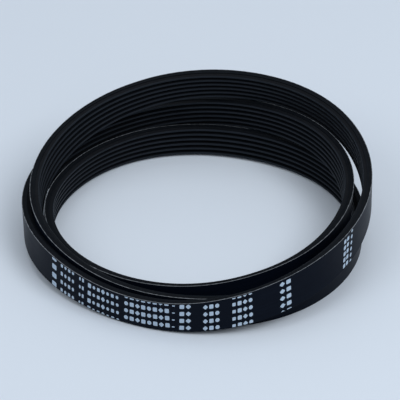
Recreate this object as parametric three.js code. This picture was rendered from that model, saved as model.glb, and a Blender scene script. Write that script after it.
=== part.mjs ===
// An endless multi-rib drive belt, coiled up as it lies before it is fitted: one band of black rubber in
// three turns that stand on edge, with the ribs inward and the smooth back outward.
// Millimetres and degrees, +Z up. The origin is in the middle of the coil, on the surface it lies on.

import * as THREE from 'three'

// Driving dimensions of the belt
const beltLength = 1260 // once round, along the tension cords
const beltThickness = 3.8 // smooth back to rib tips
const cordDepth = 1.2 // smooth back to the tension cords
const ribCount = 6
const ribPitch = 2.34
const ribTipWidth = 0.8
const grooveFloorWidth = 0.4
const grooveAngle = 40 // between the two flanks of a groove

// Driving dimensions of the coil
const strandGap = 0.4 // left between turns that lie side by side or on one another
const stepsPerTurn = 56

// How the belt lies, as stations at even angles from the right-hand side round to the left, turn after turn.
// Each has the lane it lies in, the level it is lifted to, and its lean in degrees, top outward.
// A lane is one belt thickness and gap outward, and a level is one belt width and gap up.
const stationsPerTurn = 12
const stations = [
  // top turn: on the others at the back, down the left inside the outer strand, on the floor at the front
  [1.8, 1.35, 0], [1.7, 1.8, -5], [0.99, 1.905, -11], [-0.27, 1.94, -9],
  [-0.65, 1.7, 3], [0.25, 1.1, 11], [0.6, 0.55, 6], [-0.05, 0.3, -2],
  [-1, 0, -2], [-0.8, 0, -4], [0.15, 0, -5], [0.82, 0, 0],
  // floor turn: under both others at the right, innermost from there on
  [1.15, 0, 0], [0.35, 0, 3], [-1.28, 0, 8.1], [-1.64, 0, 9],
  [-1, 0, 0], [-0.7, 0, -4], [-0.3, 0, -2], [-1.05, 0, -3],
  [-1.9, 0, -5], [-2.4, 0, -8], [-2.6, 0, -14], [-1.15, 0.25, -8],
  // middle turn: over the floor turn at the right, outermost from the left on, rising at the front right
  [0.05, 0.85, 4], [-0.22, 1.17, 3], [-0.22, 1.012, -3], [0.57, 0.715, 1],
  [0.45, 0.5, 7], [1.05, 0.35, 8], [1.7, 0.25, 3], [1.35, 0.25, -9],
  [-0.1, 0, 2], [0.3, 0.05, 0], [1.4, 0.45, -18], [1.7, 0.95, -5]
]

const turns = stations.length / stationsPerTurn
const steps = turns * stepsPerTurn
const beltWidth = ribCount * ribPitch
const flankWidth = (ribPitch - ribTipWidth - grooveFloorWidth) / 2
const ribHeight = flankWidth / Math.tan(THREE.MathUtils.degToRad(grooveAngle / 2))
const laneWidth = beltThickness + strandGap
const levelHeight = beltWidth + strandGap
const up = new THREE.Vector3(0, 0, 1)

// The section across the belt, as depth in from the smooth back and height up from the lower edge.
function beltSection () {
  const grooveDepth = beltThickness - ribHeight
  const section = [[0, 0], [0, beltWidth], [grooveDepth, beltWidth]]
  for (let rib = ribCount - 1; rib >= 0; rib--) {
    const middle = (rib + 0.5) * ribPitch
    const tip = ribTipWidth / 2
    const root = tip + flankWidth
    section.push([grooveDepth, middle + root], [beltThickness, middle + tip])
    section.push([beltThickness, middle - tip], [grooveDepth, middle - root])
  }
  section.push([grooveDepth, 0])
  return section.map(([depth, height]) => new THREE.Vector2(depth, height))
}

// Lane, level and lean at a turn from 0 to 3: a closed uniform cubic B-spline over the stations.
function lieAt (turn) {
  const place = turn * stationsPerTurn
  const first = Math.floor(place)
  const t = place - first
  const weights = [(1 - t) ** 3, 3 * t ** 3 - 6 * t ** 2 + 4, -3 * t ** 3 + 3 * t ** 2 + 3 * t + 1, t ** 3]
  const lie = [0, 0, 0]
  weights.forEach((weight, n) => {
    const station = stations[(first + n - 1 + stations.length) % stations.length]
    station.forEach((value, k) => { lie[k] += weight / 6 * value })
  })
  return lie
}

// Where the lower corner of the belt's back runs, with the lean at each step. A strand that leans inward is
// lifted until its inner corner is as high as the level says.
function backEdge (ringRadius) {
  return Array.from({ length: steps }, (_, step) => {
    const turn = step / stepsPerTurn
    const [lane, level, leanAngle] = lieAt(turn)
    const lean = THREE.MathUtils.degToRad(leanAngle)
    const radius = ringRadius + lane * laneWidth
    const height = level * levelHeight + Math.max(0, -Math.sin(lean)) * beltThickness
    const azimuth = turn * 2 * Math.PI
    const point = new THREE.Vector3(radius * Math.cos(azimuth), radius * Math.sin(azimuth), height)
    return { point, lean }
  })
}

// Axes of the section at each step: outward from the back, and across the belt from its lower edge.
function sectionFrames (edge) {
  return edge.map(({ point, lean }, step) => {
    const next = edge[(step + 1) % steps].point
    const previous = edge[(step + steps - 1) % steps].point
    const along = next.clone().sub(previous).normalize()
    const level = along.clone().cross(up).normalize()
    const upright = level.clone().cross(along)
    const outward = level.clone().multiplyScalar(Math.cos(lean)).addScaledVector(upright, -Math.sin(lean))
    const across = upright.multiplyScalar(Math.cos(lean)).addScaledVector(level, Math.sin(lean))
    return { point, outward, across }
  })
}

function placed (frame, depth, height) {
  return frame.point.clone().addScaledVector(frame.outward, -depth).addScaledVector(frame.across, height)
}

// Length along the tension cords, at the middle of the belt's width.
function cordLength (frames) {
  const cord = frames.map((frame) => placed(frame, cordDepth, beltWidth / 2))
  return cord.reduce((length, point, step) => length + point.distanceTo(cord[(step + 1) % steps]), 0)
}

// The ring radius is what gives the belt its length: a turn's length grows by 2 pi for each millimetre.
function coiledFrames () {
  let ringRadius = beltLength / (turns * 2 * Math.PI)
  let frames = sectionFrames(backEdge(ringRadius))
  const corrections = 5
  for (let n = 0; n < corrections; n++) {
    ringRadius += (beltLength - cordLength(frames)) / (turns * 2 * Math.PI)
    frames = sectionFrames(backEdge(ringRadius))
  }
  return frames
}

// The section carried round the three turns and closed on itself, with the coil's middle on the origin.
function ribbedBelt () {
  const section = beltSection()
  const around = section.length
  const vertices = coiledFrames().flatMap((frame) => section.map(({ x, y }) => placed(frame, x, y)))
  const indices = []
  for (let step = 0; step < steps; step++) {
    const here = step * around
    const ahead = ((step + 1) % steps) * around
    for (let n = 0; n < around; n++) {
      const next = (n + 1) % around
      indices.push(here + n, ahead + n, ahead + next, here + n, ahead + next, here + next)
    }
  }
  const geometry = new THREE.BufferGeometry().setFromPoints(vertices)
  geometry.setIndex(indices)
  geometry.computeBoundingBox()
  const middle = geometry.boundingBox.getCenter(new THREE.Vector3())
  geometry.translate(-middle.x, -middle.y, 0)
  geometry.computeVertexNormals()
  return geometry
}

const blackRubber = new THREE.MeshStandardMaterial({ color: 0x16181b, roughness: 0.55, metalness: 0 })

const serpentineBelt = new THREE.Group()
serpentineBelt.name = 'serpentine_belt'
const belt = new THREE.Mesh(ribbedBelt(), blackRubber)
belt.name = 'ribbed_belt'
serpentineBelt.add(belt)

export default serpentineBelt
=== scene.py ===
# An endless multi-rib drive belt of black rubber, coiled in three turns that stand on edge on a pale floor.
# Metres and degrees in the part's own frame, +Z up, with the surface that the belt lies on at z = 0.

import math

import bpy
import numpy as np
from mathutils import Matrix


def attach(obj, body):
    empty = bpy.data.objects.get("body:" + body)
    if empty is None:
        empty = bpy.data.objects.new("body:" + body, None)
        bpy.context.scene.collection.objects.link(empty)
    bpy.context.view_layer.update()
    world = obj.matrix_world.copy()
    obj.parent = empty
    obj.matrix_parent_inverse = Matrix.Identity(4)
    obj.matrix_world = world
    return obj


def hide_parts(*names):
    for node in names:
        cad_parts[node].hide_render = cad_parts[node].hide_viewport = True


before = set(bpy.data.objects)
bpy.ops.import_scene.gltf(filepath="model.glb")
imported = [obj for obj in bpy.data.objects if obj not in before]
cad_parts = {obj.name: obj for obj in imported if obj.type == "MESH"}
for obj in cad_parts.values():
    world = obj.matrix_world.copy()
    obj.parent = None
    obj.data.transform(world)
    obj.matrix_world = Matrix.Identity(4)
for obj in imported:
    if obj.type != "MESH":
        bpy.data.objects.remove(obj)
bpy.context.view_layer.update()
print("frame loaded with", sorted(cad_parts))

mm = 0.001


# How the belt lies, in millimetres and degrees: as in the CAD, with finer steps.
coil = {
    "beltLength": 1260,  # once round, along the tension cords
    "thickness": 3.8,
    "width": 14.04,
    "cordDepth": 1.2,
    "lane": 4.2,  # a belt thickness and a gap
    "level": 14.44,  # a belt width and a gap
    "stationsPerTurn": 12,
    "stepsPerTurn": 232,
    "corrections": 6,
    # lane, level and lean (top outward) at even angles, from the right-hand side round to the left
    "stations": [
        (1.8, 1.35, 0), (1.7, 1.8, -5), (0.99, 1.905, -11), (-0.27, 1.94, -9),  # top turn
        (-0.65, 1.7, 3), (0.25, 1.1, 11), (0.6, 0.55, 6), (-0.05, 0.3, -2),
        (-1, 0, -2), (-0.8, 0, -4), (0.15, 0, -5), (0.82, 0, 0),
        (1.15, 0, 0), (0.35, 0, 3), (-1.28, 0, 8.1), (-1.64, 0, 9),  # floor turn
        (-1, 0, 0), (-0.7, 0, -4), (-0.3, 0, -2), (-1.05, 0, -3),
        (-1.9, 0, -5), (-2.4, 0, -8), (-2.6, 0, -14), (-1.15, 0.25, -8),
        (0.05, 0.85, 4), (-0.22, 1.17, 3), (-0.22, 1.012, -3), (0.57, 0.715, 1),  # middle turn
        (0.45, 0.5, 7), (1.05, 0.35, 8), (1.7, 0.25, 3), (1.35, 0.25, -9),
        (-0.1, 0, 2), (0.3, 0.05, 0), (1.4, 0.45, -18), (1.7, 0.95, -5),
    ],
}


def lieAt(turn):
    # lane, level and lean: a closed uniform cubic B-spline over the stations
    stations = np.array(coil["stations"], float)
    place = turn * coil["stationsPerTurn"]
    first = np.floor(place).astype(int)
    t = place - first
    weights = np.stack([
        (1 - t) ** 3,
        3 * t ** 3 - 6 * t ** 2 + 4,
        -3 * t ** 3 + 3 * t ** 2 + 3 * t + 1,
        t ** 3,
    ]) / 6
    near = (first + np.arange(-1, 3)[:, None]) % len(stations)
    return np.einsum("ns,nsk->ks", weights, stations[near])


def lowerEdge(ringRadius, turn):
    # lower corner of the back: radius = ring + lane x lane width, height = level x level height,
    # and a strand that leans inward is lifted by its thickness x the sine of the lean
    lane, level, lean = lieAt(turn)
    lean = np.radians(lean)
    radius = ringRadius + lane * coil["lane"]
    height = level * coil["level"] + np.maximum(0, -np.sin(lean)) * coil["thickness"]
    azimuth = 2 * np.pi * turn
    return np.stack([radius * np.cos(azimuth), radius * np.sin(azimuth), height], 1), lean


def unit(vectors):
    # vector / its length
    return vectors / np.linalg.norm(vectors, axis=-1, keepdims=True)


def coilPath():
    # the edge, with outward and across at each step: along = next - previous, level = along x up,
    # upright = level x along, both turned by the lean; the ring radius is set by the belt's length
    turns = len(coil["stations"]) // coil["stationsPerTurn"]
    steps = turns * coil["stepsPerTurn"]
    turn = np.arange(steps) / coil["stepsPerTurn"]
    ringRadius = coil["beltLength"] / (turns * 2 * np.pi)
    for _ in range(coil["corrections"]):
        edge, lean = lowerEdge(ringRadius, turn)
        along = unit(np.roll(edge, -1, 0) - np.roll(edge, 1, 0))
        level = unit(np.cross(along, [0, 0, 1]))
        upright = np.cross(level, along)
        cosine, sine = np.cos(lean)[:, None], np.sin(lean)[:, None]
        outward = level * cosine - upright * sine
        across = upright * cosine + level * sine
        cord = edge - outward * coil["cordDepth"] + across * coil["width"] / 2
        strides = np.linalg.norm(np.roll(cord, -1, 0) - cord, axis=1)
        ringRadius += (coil["beltLength"] - strides.sum()) / (turns * 2 * np.pi)
    corners = np.concatenate([edge, edge + across * coil["width"]])
    middle = (corners.min(0) + corners.max(0)) / 2
    edge = edge - middle * [1, 1, 0]
    distance = np.concatenate([[0], np.cumsum(strides)[:-1]])
    return edge, outward, across, distance


edge, outward, across, distance = coilPath()
print("path worked out,", len(edge), "steps")


# The belt's section, in millimetres: depth in from the smooth back, and height up from the lower edge.
section = {
    "ribs": 6,
    "ribPitch": 2.34,
    "tipWidth": 0.8,
    "grooveFloor": 0.4,
    "grooveAngle": 40,  # between the two flanks of a groove
    "edgeSwell": 0.16,  # how far the upper cut edge bulges, which closes the hairlines between strands
    "backCorner": 0.05,  # radius, as are the next four
    "landCorner": 0.02,
    "tipCorner": 0.22,
    "rootCorner": 0.12,
    "cordCorner": 0.03,
    "cordLine": 0.15,  # half width of the line that the tension cords leave on a cut edge
    "cordLineDepth": 0.07,
    "pointsPerCorner": 4,
    "backStrips": 6,  # strips of faces across the back, so that it follows the belt's twist under the print
    "flush": 0.000001,  # a depth that still counts as none
    "finishes": {"back": 0, "cutEdge": 1, "ribs": 2},  # places in the belt's list of materials
}


def sectionCorners():
    # depth, height and radius of each corner, up the back and down over the ribs
    width, depth, s = coil["width"], coil["thickness"], section
    flank = (s["ribPitch"] - s["tipWidth"] - s["grooveFloor"]) / 2
    groove = depth - flank / math.tan(math.radians(s["grooveAngle"] / 2))
    cordAt, cordHalf = coil["cordDepth"], s["cordLine"]
    upper = [(cordAt - cordHalf, 0), (cordAt, s["cordLineDepth"]), (cordAt + cordHalf, 0)]
    brim = width + s["edgeSwell"]
    corners = [(0, 0, s["backCorner"]), (0, brim, s["backCorner"])]
    corners += [(d, brim - h, s["cordCorner"]) for d, h in upper]
    corners += [(groove, brim, s["landCorner"])]
    for rib in reversed(range(s["ribs"])):
        middle, tip = (rib + 0.5) * s["ribPitch"], s["tipWidth"] / 2
        root = tip + flank
        corners += [(groove, middle + root, s["rootCorner"]), (depth, middle + tip, s["tipCorner"])]
        corners += [(depth, middle - tip, s["tipCorner"]), (groove, middle - root, s["rootCorner"])]
    corners += [(groove, 0, s["landCorner"])]
    corners += [(d, h, s["cordCorner"]) for d, h in reversed(upper)]
    return np.array(corners), groove


def roundedSection():
    # each corner becomes an arc: half = half the corner's angle, the arc starts radius / tan(half) from the
    # corner, its centre is radius / sin(half) away, and its points go evenly from one normal to the other
    corners, groove = sectionCorners()
    points, radius = corners[:, :2], corners[:, 2:]
    back = unit(np.roll(points, 1, 0) - points)
    ahead = unit(np.roll(points, -1, 0) - points)
    half = np.arccos((back * ahead).sum(1, keepdims=True)) / 2
    centre = points + unit(back + ahead) * radius / np.sin(half)
    first = unit(points + back * radius / np.tan(half) - centre)[:, None]
    last = unit(points + ahead * radius / np.tan(half) - centre)[:, None]
    bend = (np.pi - 2 * half)[:, None]
    t = np.linspace(0, 1, section["pointsPerCorner"])[None, :, None]
    arm = (np.sin((1 - t) * bend) * first + np.sin(t * bend) * last) / np.sin(bend)
    outline = centre[:, None] + arm * radius[:, None]
    hollow = back[:, 0] * ahead[:, 1] - back[:, 1] * ahead[:, 0] < 0  # a groove's root turns the other way
    normals = np.where(hollow[:, None, None], -arm, arm)
    outline, normals = outline.reshape(-1, 2), normals.reshape(-1, 2)
    # the flat back lies between the first two corners, and gets evenly spaced points
    above = section["pointsPerCorner"]
    flat = np.linspace(outline[above - 1], outline[above], section["backStrips"] + 1)[1:-1]
    outline = np.insert(outline, above, flat, 0)
    normals = np.insert(normals, above, np.tile(normals[above - 1], (len(flat), 1)), 0)
    return outline, normals, groove


def addMesh(name, vertices, faces, normals=None):
    # a smooth mesh, with shading normals of its own where they are given
    mesh = bpy.data.meshes.new(name)
    mesh.from_pydata(vertices.tolist(), [], faces.tolist())
    mesh.polygons.foreach_set("use_smooth", np.ones(len(mesh.polygons), bool))
    mesh.update()
    if normals is not None:
        mesh.normals_split_custom_set_from_vertices(normals.tolist())
    made = bpy.data.objects.new(name, mesh)
    bpy.context.scene.collection.objects.link(made)
    return made


def addMeasure(piece, name, values):
    # one number per corner, which the materials read by its name
    attribute = piece.data.attributes.new(name, "FLOAT", "POINT")
    attribute.data.foreach_set("value", np.ascontiguousarray(values, np.float32))


def makeBelt():
    # the section carried along the path: point = edge - outward x depth + across x height
    outline, bend, groove = roundedSection()
    steps, around = len(edge), len(outline)
    depth, height = outline[:, :1], outline[:, 1:]
    points = edge[:, None] - outward[:, None] * depth + across[:, None] * height
    normals = across[:, None] * bend[:, 1:] - outward[:, None] * bend[:, :1]
    here = np.arange(steps)[:, None] * around
    ahead = np.roll(here, -1, 0)
    n = np.arange(around)
    following = np.roll(n, -1)
    faces = np.stack([here + n, ahead + n, ahead + following, here + following], 2).reshape(-1, 4)
    belt = addMesh("belt", points.reshape(-1, 3) * mm, faces, unit(normals).reshape(-1, 3))
    addMeasure(belt, "depthIn", np.tile(outline[:, 0], steps))
    addMeasure(belt, "heightUp", np.tile(outline[:, 1], steps))

    # a strip of faces is back where it is flush, cut edge where it is above the grooves and near an edge,
    # and ribs elsewhere
    finishes = section["finishes"]
    mid = (outline + outline[following]) / 2
    fromEdge = np.minimum(mid[:, 1], coil["width"] - mid[:, 1])
    onEdge = (mid[:, 0] < groove) & (fromEdge < section["backCorner"] + section["cordLineDepth"])
    finish = np.where(onEdge, finishes["cutEdge"], finishes["ribs"])
    finish[mid[:, 0] < section["flush"]] = finishes["back"]
    belt.data.polygons.foreach_set("material_index", np.tile(finish, steps))
    return belt


belt = makeBelt()
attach(belt, "root")
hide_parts("ribbed_belt")
print("belt made,", len(belt.data.polygons), "faces")


# The print on the back: pale marks in rows that run slightly downhill along the belt. Millimetres, with
# places as distances along the belt. A mark is its share of its cell's width, its share of the height of
# a row's marks, and its squareness: 1 is a diamond, 2 an ellipse, and more is squarer.
block = (0.72, 0.8, 6)
smallBlock = (0.6, 0.64, 6)
disc = (0.7, 0.76, 2.1)
smallDisc = (0.56, 0.6, 2.1)
diamond = (0.8, 0.86, 1.25)
dash = (0.9, 0.2, 6)
ink = {
    "proud": 0.03,
    "sunk": 0.02,
    "corners": 16,  # points round a mark
    "margin": 0.3,  # bare at each edge of the back
    "leastHeight": 0.35,  # a mark cut smaller than this by the edge is left out
    "start": 1086,
    "firstRow": 13.5,  # height of the middle of row 0 at the start
    "fall": -0.0757,  # of a row, per millimetre along the belt
    "pitch": 4.15,  # from row to row at the start
    "narrowing": -0.0106,  # of the pitch, per millimetre along the belt
    "rows": range(-3, 3),
    "markHeight": 0.72,  # share of the row pitch
    # how far a column of marks runs on along the belt for each millimetre up it, and how that grows
    "columnLean": -0.08,
    "columnGrowth": 0.0032,
    # from, to, and the marks between them
    "runs": [
        (1079.4, 1083.3, [block]),
        (1085.0, 1093.6, [smallBlock, smallDisc, smallBlock, smallDisc]),
        (1095.4, 1098.6, [smallDisc, smallBlock]),
        (1100.0, 1115.6, [block, smallDisc, smallBlock, diamond, smallDisc, smallBlock, smallDisc]),
        (1117.2, 1137.1, [disc, block, diamond, block, disc, block, diamond, block]),
        (1137.8, 1139.0, [dash]),
        (1140.5, 1145.8, [block, diamond]),
        (1150.1, 1157.3, [diamond, block, disc]),
        (1161.7, 1170.9, [smallBlock, block, diamond, disc]),
        (1182.0, 1187.8, [diamond, block]),
    ],
    "stampPitch": 2.62,
    "stampRows": range(6),
    "stampHeight": 2.1,
    # from, to, height of the lowest row, and the marks
    "stamps": [(1216.3, 1220.6, 1.4, [block, block]), (1221.5, 1223.3, 0.4, [disc])],
}


def cellMarks(left, right, middle, height, kinds):
    # a row of marks, each in its own cell: distance, height, half width, half height, squareness and lean.
    # The columns lean: distance = middle of the cell + lean x height above the middle of the back
    cell = (right - left) / len(kinds)
    lean = ink["columnLean"] + ink["columnGrowth"] * (left - ink["start"])
    shift = lean * (middle - coil["width"] / 2)
    return [
        (left + shift + (n + 0.5) * cell, middle, wide * cell / 2, tall * height / 2, square, lean)
        for n, (wide, tall, square) in enumerate(kinds)
    ]


def allMarks():
    # the middle of a row: first row + fall x distance from the start + row x pitch, and in a stamp
    # lowest row + row x stamp pitch
    placed = []
    for left, right, kinds in ink["runs"]:
        along = (left + right) / 2 - ink["start"]
        pitch = ink["pitch"] + ink["narrowing"] * along
        for row in ink["rows"]:
            middle = ink["firstRow"] + ink["fall"] * along + row * pitch
            placed += cellMarks(left, right, middle, pitch * ink["markHeight"], kinds)
    for left, right, lowest, kinds in ink["stamps"]:
        for row in ink["stampRows"]:
            middle = lowest + row * ink["stampPitch"]
            placed += cellMarks(left, right, middle, ink["stampHeight"], kinds)
    return np.array(placed)


def onBack(along, height, proud):
    # a point of the back: edge + across x height + outward x proud, each between the two nearest steps
    def between(values):
        return np.stack([np.interp(along, distance, values[:, k]) for k in range(3)], -1)

    return between(edge) + between(across) * height[..., None] + between(outward) * proud


def makePrint():
    # each mark is a thin closed plate on the back. Its outline is a superellipse:
    # right = half width x cos^(2 / squareness), up = half height x sin^(2 / squareness), both with their
    # signs, and it leans: along = place + right + lean x up
    placed = allMarks()
    low, high = ink["margin"], coil["width"] - ink["margin"]
    middle, tall = placed[:, 1], placed[:, 3]
    seen = np.minimum(middle + tall, high) - np.maximum(middle - tall, low)
    placed = placed[seen > ink["leastHeight"]]
    place, middle, wide, tall, square, lean = placed.T[..., None]
    around = ink["corners"]
    angle = np.linspace(0, 2 * np.pi, around, endpoint=False)[None] + np.pi / around
    right = wide * np.sign(np.cos(angle)) * np.abs(np.cos(angle)) ** (2 / square)
    up = tall * np.sign(np.sin(angle)) * np.abs(np.sin(angle)) ** (2 / square)
    right, up = [np.concatenate([values, np.zeros_like(values[:, :1])], 1) for values in (right, up)]
    height = np.clip(middle + up, low, high)
    along = place + right + lean * (height - middle)
    top = onBack(along, height, ink["proud"])
    under = onBack(along, height, -ink["sunk"])
    points = np.concatenate([top, under], 1)  # a ring and its centre on top, and the same underneath
    n = np.arange(around)
    following = np.roll(n, -1)
    below = around + 1
    lid = np.stack([n, following, np.full(around, around)], 1)
    base = np.stack([following + below, n + below, np.full(around, around + below)], 1)
    wall = np.concatenate([
        np.stack([n, n + below, following + below], 1),
        np.stack([n, following + below, following], 1),
    ])
    plate = np.concatenate([lid, base, wall])
    faces = (plate[None] + np.arange(len(placed))[:, None, None] * 2 * below).reshape(-1, 3)
    return addMesh("print_marks", points.reshape(-1, 3) * mm, faces)


marks = makePrint()
marks.data.polygons.foreach_set("use_smooth", np.zeros(len(marks.data.polygons), bool))
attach(marks, "root")
print("print made,", len(marks.data.polygons), "faces")


def newFinish(name, roughness, gloss):
    # a plain material, with a number that is the same all over on the shader's own socket
    material = bpy.data.materials.new(name)
    material.use_nodes = True
    tree = material.node_tree
    shader = tree.nodes["Principled BSDF"]
    shader.inputs["Specular IOR Level"].default_value = gloss
    shader.inputs["Roughness"].default_value = roughness
    return material, tree, shader


def add(tree, kind, sockets, **settings):
    # a node with its settings, and each socket either linked or given its value
    made = tree.nodes.new(kind)
    for name, value in settings.items():
        setattr(made, name, value)
    for name, value in sockets.items():
        if isinstance(value, bpy.types.NodeSocket):
            tree.links.new(value, made.inputs[name])
        else:
            made.inputs[name].default_value = value
    return made


def measure(tree, name):
    # what addMeasure put on the corners
    return add(tree, "ShaderNodeAttribute", {}, attribute_name=name).outputs["Fac"]


def ramp(tree, value, low, high, lowest, highest):
    # a straight line from lowest, at low, to highest, at high, and level beyond them
    made = add(tree, "ShaderNodeMapRange", {
        "Value": value, "From Min": low, "From Max": high, "To Min": lowest, "To Max": highest})
    return made.outputs["Result"]


def sums(tree, kind, first, second):
    # one step of arithmetic on two sockets or numbers
    return add(tree, "ShaderNodeMath", {0: first, 1: second}, operation=kind).outputs[0]


def noise(tree, scale, detail, vector=None):
    # clouds of about 1 / scale metres, in the piece's own coordinates if no others are given
    vector = vector or add(tree, "ShaderNodeTexCoord", {}).outputs["Object"]
    made = add(tree, "ShaderNodeTexNoise", {"Vector": vector, "Scale": scale, "Detail": detail})
    return made.outputs["Fac"]


def streaksAlong(tree, measured, look):
    # clouds drawn out along the belt: x and y count for little, and the measure across the belt for much
    coarse, fine = look["streakScale"]
    here = add(tree, "ShaderNodeTexCoord", {}).outputs["Object"]
    place = add(tree, "ShaderNodeSeparateXYZ", {"Vector": here}).outputs
    drawnOut = add(tree, "ShaderNodeCombineXYZ", {
        "X": sums(tree, "MULTIPLY", place["X"], coarse),
        "Y": sums(tree, "MULTIPLY", place["Y"], coarse),
        "Z": sums(tree, "MULTIPLY", measured, fine)}).outputs["Vector"]
    return noise(tree, 1, look["streakDetail"], drawnOut)


def blend(tree, share, first, second):
    # first + share x (second - first). A Mix node's colours go in at sockets 6 and 7, and come out at 2
    made = add(tree, "ShaderNodeMix", {0: share, 6: first, 7: second}, data_type="RGBA")
    return made.outputs[2]


def bump(tree, shader, height, strength, depth):
    # height pushes the surface out by up to strength x depth
    made = add(tree, "ShaderNodeBump", {"Height": height, "Strength": strength, "Distance": depth * mm})
    tree.links.new(made.outputs["Normal"], shader.inputs["Normal"])


dustPatches = {"scale": 260, "detail": 4, "between": (0.4, 0.7), "least": 0.2, "facing": (0.3, 1)}


def dusty(tree, colour, dust, share):
    # fine dust: the share that lies there = how far the surface faces up x how thick the patch is
    patches = dustPatches
    normal = add(tree, "ShaderNodeNewGeometry", {}).outputs["Normal"]
    facing = add(tree, "ShaderNodeSeparateXYZ", {"Vector": normal}).outputs["Z"]
    clouds = noise(tree, patches["scale"], patches["detail"])
    strewn = ramp(tree, clouds, *patches["between"], patches["least"], share)
    lying = sums(tree, "MULTIPLY", ramp(tree, facing, *patches["facing"], 0, 1), strewn)
    return blend(tree, lying, colour, dust)


# Colours are linear, depths are millimetres in from the back, and scales are clouds per metre. A pair is
# from and to, apart from the streaks' scale: along the belt by the metre, and across it by the millimetre.
smoothBack = {
    "colour": (0.0014, 0.0032, 0.0078, 1),
    "gloss": 0.06,
    "roughness": (0.36, 0.48),
    "roughBetween": (0.35, 0.65),
    "streakColour": (0.003, 0.0056, 0.0125, 1),
    "streakScale": (90, 5),
    "streakDetail": 4,
    "streakBetween": (0.4, 0.72),
    "streakShare": 0.8,
    "smudgeScale": 55,
    "smudgeDetail": 3,
    "dust": (0.02, 0.024, 0.03, 1),
    "dustShare": 0.15,
    "grain": 0.01,
    "grainScale": 2400,
    "grainDetail": 3,
    "grainStrength": 0.5,
}


def smoothBackRubber():
    # roughness by streaks / 2 + smudges / 2, and relief by grain + streaks / 2
    look = smoothBack
    material, tree, shader = newFinish("smooth back rubber", look["roughness"][0], look["gloss"])
    streaks = streaksAlong(tree, measure(tree, "heightUp"), look)
    smudges = noise(tree, look["smudgeScale"], look["smudgeDetail"])
    streaked = ramp(tree, streaks, *look["streakBetween"], 0, look["streakShare"])
    colour = blend(tree, streaked, look["colour"], look["streakColour"])
    tree.links.new(dusty(tree, colour, look["dust"], look["dustShare"]), shader.inputs["Base Color"])
    worn = sums(tree, "ADD", sums(tree, "MULTIPLY", streaks, 0.5), sums(tree, "MULTIPLY", smudges, 0.5))
    rough = ramp(tree, worn, *look["roughBetween"], *look["roughness"])
    tree.links.new(rough, shader.inputs["Roughness"])
    grain = noise(tree, look["grainScale"], look["grainDetail"])
    relief = sums(tree, "ADD", grain, sums(tree, "MULTIPLY", streaks, 0.5))
    bump(tree, shader, relief, look["grainStrength"], look["grain"])
    return material


cutEdge = {
    # corner: the worn corner's pale grey, mostly a painted highlight along the back's cut corner
    "corner": (0.25, 0.275, 0.305, 1),
    "cornerDepth": (0.06, 0.3),
    "lowerEdgeHighlight": 0.08,  # share of the worn corner's painted highlight that the lower edge gets
    "ply": (0.001, 0.0018, 0.0032, 1),
    "ribSide": (0.0022, 0.0032, 0.005, 1),
    "ribSideDepth": (1.5, 1.75),
    "ragged": 0.12,  # how far the layers' edges wander
    "raggedScale": 700,
    "raggedDetail": 3,
    "raggedBetween": (0.3, 0.7),
    "cord": (0.009, 0.0085, 0.008, 1),
    "cordReach": (0.07, 0.17),
    "cordScale": 420,
    "cordDetail": 2,
    "cordBetween": (0.42, 0.6),
    "cordShare": (0.15, 0.85),
    "scuff": 0.012,
    "scuffBetween": (0.45, 0.75),
    "streakScale": (160, 9),
    "streakDetail": 5,
    "gloss": 0.035,
    "roughness": (0.5, 0.66),
    "roughBetween": (0.35, 0.65),
    "dust": (0.014, 0.018, 0.024, 1),
    "dustShare": 0.1,
    "grain": 0.02,
    "grainScale": 1900,
    "grainDetail": 3,
    "grainStrength": 0.6,
}


def cutEdgeRubber():
    # a cut edge shows its layers by depth: worn corner (a painted highlight, strongest on the upper edge),
    # dark ply, a broken line of cords, rib rubber.
    # The layers change at depth + ragged noise, and the cords show by distance from their own depth
    look = cutEdge
    material, tree, shader = newFinish("cut edge rubber", look["roughness"][0], look["gloss"])
    depth = measure(tree, "depthIn")
    streaks = streaksAlong(tree, depth, look)
    clouds = noise(tree, look["raggedScale"], look["raggedDetail"])
    wander = ramp(tree, clouds, *look["raggedBetween"], -look["ragged"], look["ragged"])
    ragged = sums(tree, "ADD", depth, wander)
    # painted highlight on the worn corner: full along the upper edge, a little along the lower one; worn
    # holds its share
    highlightByHeight = ramp(tree, measure(tree, "heightUp"), 0, coil["width"], look["lowerEdgeHighlight"], 1)
    worn = sums(tree, "MULTIPLY", ramp(tree, ragged, *look["cornerDepth"], 1, 0), highlightByHeight)
    colour = blend(tree, worn, look["ply"], look["corner"])
    colour = blend(tree, ramp(tree, ragged, *look["ribSideDepth"], 0, 1), colour, look["ribSide"])
    off = sums(tree, "SUBTRACT", depth, coil["cordDepth"])
    off = add(tree, "ShaderNodeMath", {0: off}, operation="ABSOLUTE").outputs[0]
    broken = noise(tree, look["cordScale"], look["cordDetail"])
    broken = ramp(tree, broken, *look["cordBetween"], *look["cordShare"])
    cords = sums(tree, "MULTIPLY", ramp(tree, off, *look["cordReach"], 1, 0), broken)
    colour = blend(tree, cords, colour, look["cord"])
    scuffed = ramp(tree, streaks, *look["scuffBetween"], 0, look["scuff"])
    colour = blend(tree, scuffed, colour, look["corner"])
    tree.links.new(dusty(tree, colour, look["dust"], look["dustShare"]), shader.inputs["Base Color"])
    rough = ramp(tree, streaks, *look["roughBetween"], *look["roughness"])
    tree.links.new(rough, shader.inputs["Roughness"])
    relief = sums(tree, "ADD", streaks, noise(tree, look["grainScale"], look["grainDetail"]))
    bump(tree, shader, relief, look["grainStrength"], look["grain"])
    return material


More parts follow.
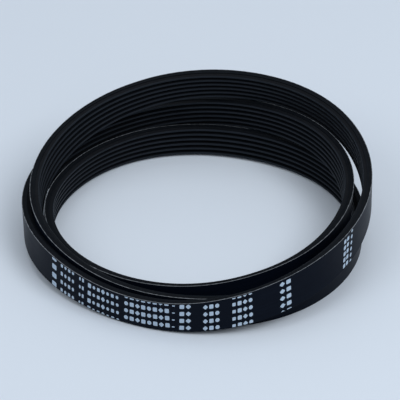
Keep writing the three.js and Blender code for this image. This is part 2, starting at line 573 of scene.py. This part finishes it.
ribFinish = {
    "colour": (0.0011, 0.0015, 0.0026, 1),
    "tip": (0.016, 0.0215, 0.03, 1),
    "tipDepth": (3.45, 3.74),
    "streakScale": (110, 7),
    "streakDetail": 4,
    "streakBetween": (0.3, 0.7),
    "streakShare": (0.55, 1),
    "fleck": (0.03, 0.032, 0.036, 1),
    "fleckScale": 2600,
    "fleckDetail": 2,
    "fleckBetween": (0.66, 0.74),
    "fleckShare": 0.6,
    "gloss": 0.075,
    "roughness": (0.6, 0.42),  # grooves, tips
    "dust": (0.014, 0.018, 0.024, 1),
    "dustShare": 0.1,
    "grain": 0.02,
    "grainScale": 2200,
    "grainDetail": 3,
    "grainStrength": 0.6,
}


def ribRubber():
    # the ribs' own mix, with short pale fibres in it: matt in the grooves, and more polished the deeper
    # it lies from the back
    look = ribFinish
    material, tree, shader = newFinish("rib rubber", look["roughness"][0], look["gloss"])
    depth = measure(tree, "depthIn")
    streaks = streaksAlong(tree, measure(tree, "heightUp"), look)
    tips = ramp(tree, depth, *look["tipDepth"], 0, 1)
    polish = ramp(tree, streaks, *look["streakBetween"], *look["streakShare"])
    colour = blend(tree, sums(tree, "MULTIPLY", tips, polish), look["colour"], look["tip"])
    flecks = noise(tree, look["fleckScale"], look["fleckDetail"])
    flecks = ramp(tree, flecks, *look["fleckBetween"], 0, look["fleckShare"])
    colour = blend(tree, flecks, colour, look["fleck"])
    tree.links.new(dusty(tree, colour, look["dust"], look["dustShare"]), shader.inputs["Base Color"])
    tree.links.new(ramp(tree, tips, 0, 1, *look["roughness"]), shader.inputs["Roughness"])
    relief = sums(tree, "ADD", streaks, noise(tree, look["grainScale"], look["grainDetail"]))
    bump(tree, shader, relief, look["grainStrength"], look["grain"])
    return material


inkFinish = {
    "colour": (0.42, 0.53, 0.66, 1),
    "thin": (0.33, 0.42, 0.53, 1),
    "thinScale": 1500,
    "thinDetail": 4,
    "thinBetween": (0.5, 0.72),
    "gloss": 0.35,
    "roughness": 0.5,
    "grain": 0.006,
    "grainStrength": 0.5,
}


def paleInk():
    # the ink's colour goes over to that of thin ink where the grain is high
    look = inkFinish
    material, tree, shader = newFinish("pale ink", look["roughness"], look["gloss"])
    grain = noise(tree, look["thinScale"], look["thinDetail"])
    worn = blend(tree, ramp(tree, grain, *look["thinBetween"], 0, 1), look["colour"], look["thin"])
    tree.links.new(worn, shader.inputs["Base Color"])
    bump(tree, shader, grain, look["grainStrength"], look["grain"])
    return material


for finish in (smoothBackRubber(), cutEdgeRubber(), ribRubber()):  # in the order of the section's finishes
    belt.data.materials.append(finish)
marks.data.materials.append(paleInk())
print("finishes made")


# The floor, the light and the camera. Metres, degrees and watts.
studio = {
    "floorSize": 8,
    "floorColour": (0.68, 0.76, 0.86, 1),
    "floorRoughness": 0.7,
    "floorGloss": 0.2,
    "worldColour": (0.93, 0.96, 1, 1),
    "worldStrength": 0.45,
    # azimuth from the right-hand side, elevation, distance, size and power
    "lamps": {
        "key": (-35, 52, 1.3, 0.7, 6.5),
        "top": (90, 75, 1.4, 1.0, 3),
        "fill": (215, 45, 1.3, 0.6, 2.2),
    },
}
view = {
    "azimuth": -90,
    "elevation": 36.021,
    "distance": 0.8547,
    "lens": 179.19,
    "sensor": 36,
    "aim": (0.001549, -0.00008, 0.017356),
    "nearest": 0.01,
}


def makeFloor():
    half = studio["floorSize"] / 2
    corners = np.array([(-half, -half, 0), (half, -half, 0), (half, half, 0), (-half, half, 0)])
    floor = addMesh("floor", corners, np.array([(0, 1, 2, 3)]))
    material, _, shader = newFinish("pale floor", studio["floorRoughness"], studio["floorGloss"])
    shader.inputs["Base Color"].default_value = studio["floorColour"]
    floor.data.materials.append(material)


def towards(azimuth, elevation):
    # x = cos azimuth x cos elevation, y = sin azimuth x cos elevation, z = sin elevation
    a, e = math.radians(azimuth), math.radians(elevation)
    return np.array([math.cos(a) * math.cos(e), math.sin(a) * math.cos(e), math.sin(e)])


def lookingBack(azimuth, elevation):
    # the turn of what stands there and looks at the middle: tilt = 90 - elevation, swing = azimuth + 90
    return math.radians(90 - elevation), 0, math.radians(azimuth + 90)


def makeLight():
    for name, (azimuth, elevation, far, size, power) in studio["lamps"].items():
        lamp = bpy.data.lights.new(name, "AREA")
        lamp.size = size
        lamp.energy = power
        made = bpy.data.objects.new(name, lamp)
        made.location = towards(azimuth, elevation) * far
        made.rotation_euler = lookingBack(azimuth, elevation)
        bpy.context.scene.collection.objects.link(made)

    # the world lights the belt, and shows the floor's colour to the camera and in mirrors
    world = bpy.data.worlds.new("studio")
    bpy.context.scene.world = world
    world.use_nodes = True
    tree = world.node_tree
    light = tree.nodes["Background"]
    light.inputs["Color"].default_value = studio["worldColour"]
    light.inputs["Strength"].default_value = studio["worldStrength"]
    seen = add(tree, "ShaderNodeBackground", {"Color": studio["floorColour"], "Strength": 1})
    path = add(tree, "ShaderNodeLightPath", {}).outputs
    mirrored = sums(tree, "MAXIMUM", path["Is Glossy Ray"], path["Is Transmission Ray"])
    shown = sums(tree, "MAXIMUM", path["Is Camera Ray"], mirrored)
    mixed = add(tree, "ShaderNodeMixShader", {0: shown, 1: light.outputs[0], 2: seen.outputs[0]})
    tree.links.new(mixed.outputs[0], tree.nodes["World Output"].inputs["Surface"])


def makeCamera():
    camera = bpy.data.cameras.new("camera")
    camera.sensor_width = view["sensor"]
    camera.lens = view["lens"]
    camera.clip_start = view["nearest"]
    made = bpy.data.objects.new("camera", camera)
    away = towards(view["azimuth"], view["elevation"]) * view["distance"]
    made.location = np.array(view["aim"]) + away
    made.rotation_euler = lookingBack(view["azimuth"], view["elevation"])
    bpy.context.scene.collection.objects.link(made)
    bpy.context.scene.camera = made


makeFloor()
makeLight()
makeCamera()
bpy.context.scene.view_settings.view_transform = "Standard"
print("floor, light and camera set")
